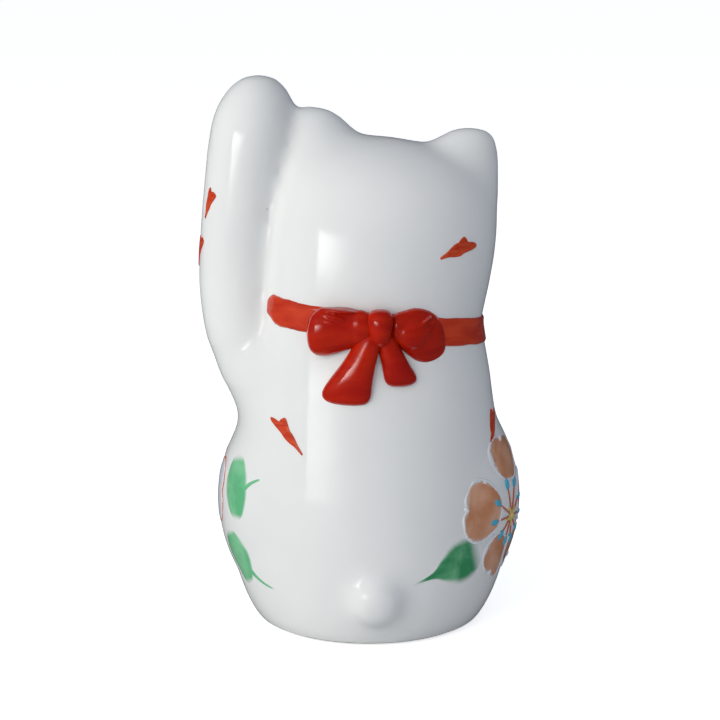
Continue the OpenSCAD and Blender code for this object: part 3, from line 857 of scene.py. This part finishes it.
# ---- Face ----
# A plain, calm cat's face in the same enamels: black eyes with a gilt ring and a white glint, a red nose
# and mouth, red inside the ears, and fine black whiskers and claws drawn with a liner brush.
black = solid_enamel("black_enamel", (0.012, 0.011, 0.012), (0.03, 0.026, 0.024))
face_red = red_enamel("face_red", (0.7, 0.1, 0.04), (0.55, 0.045, 0.015), 300.0)
FACE_UP = Vector((-math.sin(LEAN), 0, math.cos(LEAN)))
FACE_ACROSS = Vector((math.cos(LEAN), 0, math.sin(LEAN)))
ALMOND = [(0, 0.5), (0.1, 1.9), (0.3, 3.5), (0.5, 4), (0.7, 3.5), (0.9, 1.9), (1, 0.5)]
EAR_LINING = [(0, 2.4), (0.08, 4), (0.25, 4.9), (0.5, 4), (0.75, 2.3), (0.93, 0.9), (1, 0.4)]


def in_face(x, y, z):
    """A place on the face, in mm from the neck joint before the head is leant over."""
    return FACE_ACROSS * x + FACE_UP * z + Vector((0, y, NECK.z / MM))


def middle_of(node):
    """The middle of a painted node, on the glaze, in mm from the axis."""
    low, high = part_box(node)
    return on_skin((low + high) / 2 / MM - AXIS)[0]


def almond(name, at, half, fat, height, slant):
    """An almond of enamel lying across the face, in mm."""
    end = FACE_ACROSS * half + FACE_UP * slant
    shape = [(share, wide * fat) for share, wide in ALMOND]
    return brushed(name, on_skin(at - end)[0], on_skin(at + end)[0], shape, 16, 28, height=height, rim=0.4)


def stroke(name, start, end, wide, sway=0.0):
    """One liner stroke between two places in mm, full in its first half and drawn out at its end."""
    widths = [(0, wide * 0.5), (0.35, wide), (0.7, wide * 0.7), (1, wide * 0.25)]
    return brushed(name, on_skin(start)[0], on_skin(end)[0], widths, 4, 20, sway=sway, height=0.25, rim=0.6,
                   lift=8)


for side, word in ((1, "left"), (-1, "right")):
    at = middle_of("eye_" + word)
    painted(almond("eye_" + word, at, 6.4, 1.12, 0.3, side * 0.8), black, "eye_" + word)
    painted(almond("iris_" + word, at, 5, 0.86, 0.6, side * 0.6), gilt)
    painted(dab(at, 1.9, 3, 1, 0, "pupil_" + word), black)
    painted(dab(at + FACE_UP * 1.4 + FACE_ACROSS * 0.9, 0.55, 0.55, 1.2, 0, "glint_" + word), white_line)
    lining = brushed("inner_ear_" + word, on_skin(in_face(side * 23.4, -20, 46))[0],
                     on_skin(in_face(side * 26.6, -8, 63.4))[0], EAR_LINING, 12, 24, height=0.3)
    painted(lining, face_red, "inner_ear_" + word)
    whiskers = [stroke("whisker", in_face(side * 13.5, -34, 17.5 - 2.6 * k),
                       in_face(side * 28, -24, 20.5 - 4.6 * k), 0.34, sway=0.8 * side) for k in range(3)]
    painted(join(whiskers, "whiskers_" + word), black)

nose_at = middle_of("nose")
nose = brushed("nose", on_skin(nose_at - FACE_UP * 1.9)[0], on_skin(nose_at + FACE_UP * 1.5)[0],
               [(0, 0.5), (0.3, 1.5), (0.7, 2.7), (0.9, 2.6), (1, 1.9)], 12, 14, height=0.45)
painted(nose, face_red, "nose")
mouth_at = middle_of("mouth")
lips = [stroke("lip", nose_at - FACE_UP * 2, mouth_at - FACE_UP * 0.4, 0.34)]
for side in (-1, 1):
    corner = mouth_at + FACE_ACROSS * side * 6 + FACE_UP * 0.8
    lips.append(stroke("lip", mouth_at - FACE_UP * 0.2, corner, 0.42, sway=1.5 * side))
painted(join(lips, "mouth"), face_red, "mouth")

# Three claws on the front of each paw.
for name, x, y, high, low in (("raised", 36, -26, 166.5, 160.5), ("resting", -17.4, -52, 49, 44),
                              ("hind_left", 22, -54, 11, 5.6), ("hind_right", -22, -54, 11, 5.6)):
    claws = [stroke("claw", (x + 4.4 * step, y + abs(step), high),
                    (x + 4.4 * step, y + abs(step) + 0.5, low), 0.36) for step in (-1, 0, 1)]
    painted(join(claws, "claws_" + name), black)

# ---- Floor, light and camera ----
# A white paper floor that runs into a white room, a wide bright wall and a low window on the side of the
# raised foreleg, a pale ceiling, and a dim cool room on the other side.
start_clean()
bpy.ops.mesh.primitive_plane_add(size=40, location=(0, 0, 0))
floor = active("floor")
paper, tree, shader = new_material("white_paper", Roughness=0.9, Specular_IOR_Level=0.1,
                                   Emission_Color=(1, 1, 1, 1))
seen = add(tree, "ShaderNodeLightPath")
lift = add(tree, "ShaderNodeMath", operation="MULTIPLY")
lift.inputs[1].default_value = 0.68
wire(tree, (seen.outputs["Is Camera Ray"], lift.inputs[0]),
     (lift.outputs[0], shader.inputs["Emission Strength"]))
unseen = add(tree, "ShaderNodeMath", operation="MULTIPLY")
unseen.inputs[1].default_value = 0.9
wire(tree, (seen.outputs["Is Glossy Ray"], unseen.inputs[0]),
     (two_tone(tree, (0.86, 0.87, 0.88), (0, 0, 0), unseen.outputs[0]), shader.inputs["Base Color"]))
floor.data.materials.append(paper)

AIM = Vector((0.7, 0.6, 86.5)) * MM
VIEW = math.radians(174)
RISE = math.radians(12)
AWAY = 0.664


def direction(turn, rise):
    return Vector((math.sin(turn) * math.cos(rise), -math.cos(turn) * math.cos(rise), math.sin(rise)))


def softbox(name, turn, rise, distance, size, power, colour, mirrored=True):
    """An area light round the aim point. Its turn is from the camera towards the raised foreleg, in degrees.
    One that isn't mirrored lights the glaze without a reflection, as a wall out of sight of it does."""
    out = direction(VIEW - math.radians(turn), math.radians(rise))
    bpy.ops.object.light_add(type="AREA", location=AIM + out * distance)
    light = bpy.context.active_object
    light.name = name
    light.rotation_euler = out.to_track_quat("Z", "Y").to_euler()
    light.data.shape = "RECTANGLE"
    light.data.size, light.data.size_y = size
    light.data.energy = power
    light.data.color = colour
    light.visible_glossy = mirrored
    return light


window = softbox("window", 31, 7, 1.2, (0.78, 0.4), 8, (1, 0.98, 0.94))
window.visible_diffuse = False
# The window is only mirrored in the glaze. Its sky is brightest in one corner and falls away from there.
window.data.use_nodes = True
tree = window.data.node_tree
pane = add(tree, "ShaderNodeNewGeometry")
apart = add(tree, "ShaderNodeSeparateXYZ")
across = add(tree, "ShaderNodeMapRange", interpolation_type="SMOOTHSTEP", From_Min=1.0, From_Max=0.12,
             To_Min=0.05)
down = add(tree, "ShaderNodeMapRange", interpolation_type="SMOOTHSTEP", From_Min=0.0, From_Max=0.9,
           To_Min=0.05)
both = add(tree, "ShaderNodeMath", operation="MULTIPLY")
wire(tree, (pane.outputs["Parametric"], apart.inputs["Vector"]), (apart.outputs["X"], across.inputs["Value"]),
     (apart.outputs["Y"], down.inputs["Value"]), (across.outputs["Result"], both.inputs[0]),
     (down.outputs["Result"], both.inputs[1]), (both.outputs[0], tree.nodes["Emission"].inputs["Strength"]))
softbox("bright_wall", 52, 20, 1.5, (1.6, 1.3), 15.3, (1, 0.975, 0.92), False)
softbox("ceiling", 8, 50, 1.6, (1.4, 0.9), 2, (1, 0.98, 0.95), False)
world = bpy.data.worlds.new("studio")
bpy.context.scene.world = world
world.use_nodes = True
tree = world.node_tree
room = tree.nodes["Background"]
room.inputs["Color"].default_value = (0.8, 0.86, 1, 1)
room.inputs["Strength"].default_value = 0.45
dark = add(tree, "ShaderNodeBackground", Strength=0.05)
dark.inputs["Color"].default_value = (0.8, 0.88, 1, 1)
white = add(tree, "ShaderNodeBackground", Strength=1.0)
white.inputs["Color"].default_value = (1, 1, 1, 1)
seen = add(tree, "ShaderNodeLightPath")
mirrored = add(tree, "ShaderNodeMixShader")
either = add(tree, "ShaderNodeMixShader")
wire(tree, (seen.outputs["Is Glossy Ray"], mirrored.inputs[0]), (room.outputs[0], mirrored.inputs[1]),
     (dark.outputs[0], mirrored.inputs[2]), (seen.outputs["Is Camera Ray"], either.inputs[0]),
     (mirrored.outputs[0], either.inputs[1]), (white.outputs[0], either.inputs[2]),
     (either.outputs[0], tree.nodes["World Output"].inputs["Surface"]))

camera_data = bpy.data.cameras.new("camera")
camera_data.lens = 100
camera_data.sensor_width = 36
camera_data.clip_start = 0.01
camera = bpy.data.objects.new("camera", camera_data)
bpy.context.collection.objects.link(camera)
away = direction(VIEW, RISE)
camera.location = AIM + away * AWAY
camera.rotation_euler = away.to_track_quat("Z", "Y").to_euler()
bpy.context.scene.camera = camera
bpy.context.scene.view_settings.view_transform = "Standard"
